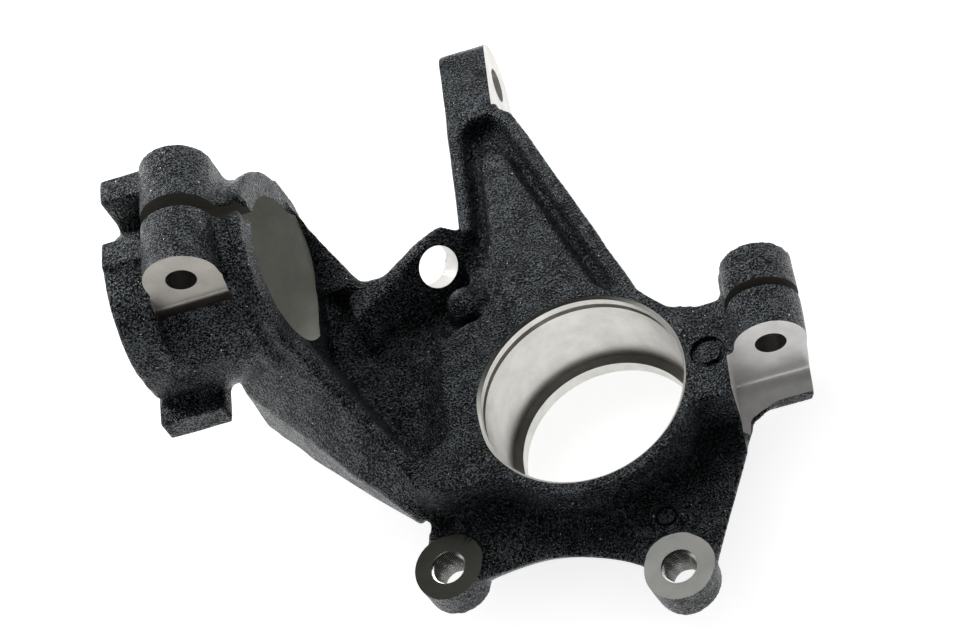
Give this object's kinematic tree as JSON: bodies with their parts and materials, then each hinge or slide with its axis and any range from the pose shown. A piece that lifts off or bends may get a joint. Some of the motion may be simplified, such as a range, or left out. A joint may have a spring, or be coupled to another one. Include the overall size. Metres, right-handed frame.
{
  "type": "steering knuckle",
  "caption": "Cast-iron front steering knuckle with a bored wheel-bearing seat, split strut clamp, track-rod arm, lower ball-joint clamp and tapped brake-caliper ears.",
  "frame": {"origin": "the middle of the wheel-bearing seat, on its axis", "axes": "+Z along the bearing axis towards the middle of the car, +X towards the lower ball joint, +Y towards the track-rod arm; the strut clamp is on -X and the caliper ears on -Y"},
  "size_m": [0.2569, 0.2854, 0.1402],
  "materials": {
    "casting": "black coated cast skin with bright machined seats"
  },
  "bodies": {
    "root": {"steering_knuckle": "casting"}
  },
  "joints": []
}
